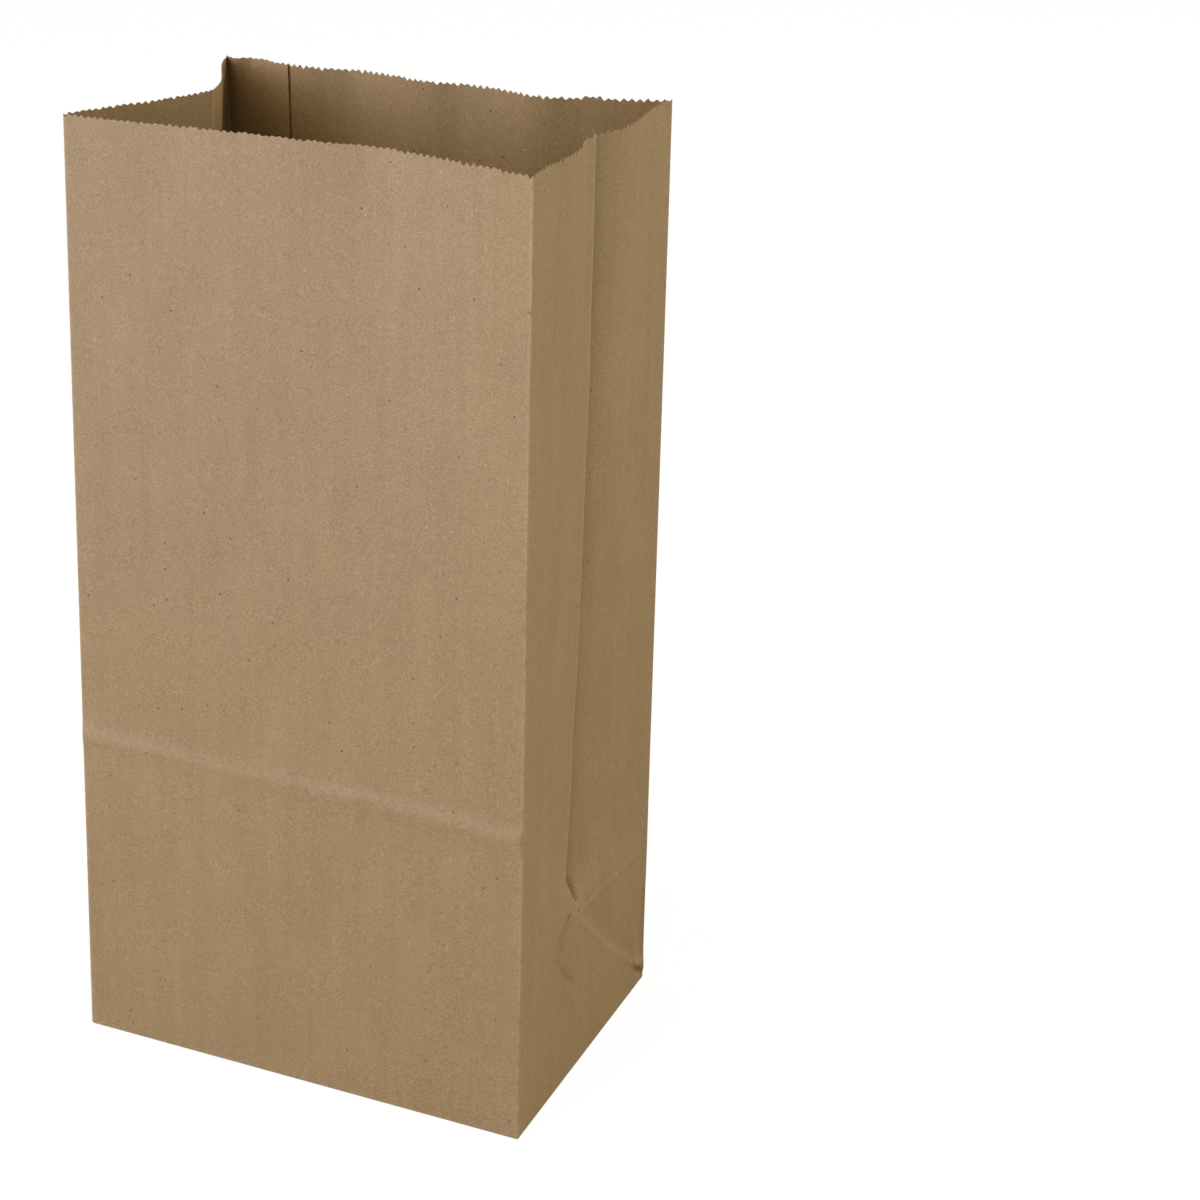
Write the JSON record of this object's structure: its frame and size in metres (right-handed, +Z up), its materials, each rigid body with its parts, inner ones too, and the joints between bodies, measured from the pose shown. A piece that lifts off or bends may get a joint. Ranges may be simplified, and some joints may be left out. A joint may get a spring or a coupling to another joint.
{
  "type": "paper lunch bag",
  "caption": "Flat-bottomed gusseted bag of plain brown kraft paper, opened out and standing, with a saw-toothed cut top edge.",
  "frame": {"origin": "centre of the base, on the surface that the bag stands on", "axes": "+Z up to the open mouth, +X to the right along the front panel, +Y from the front panel to the back panel"},
  "size_m": [0.1295, 0.0871, 0.2476],
  "materials": {
    "kraft_paper": "matte"
  },
  "bodies": {
    "root": {"paper_bag": "kraft_paper"}
  },
  "joints": []
}
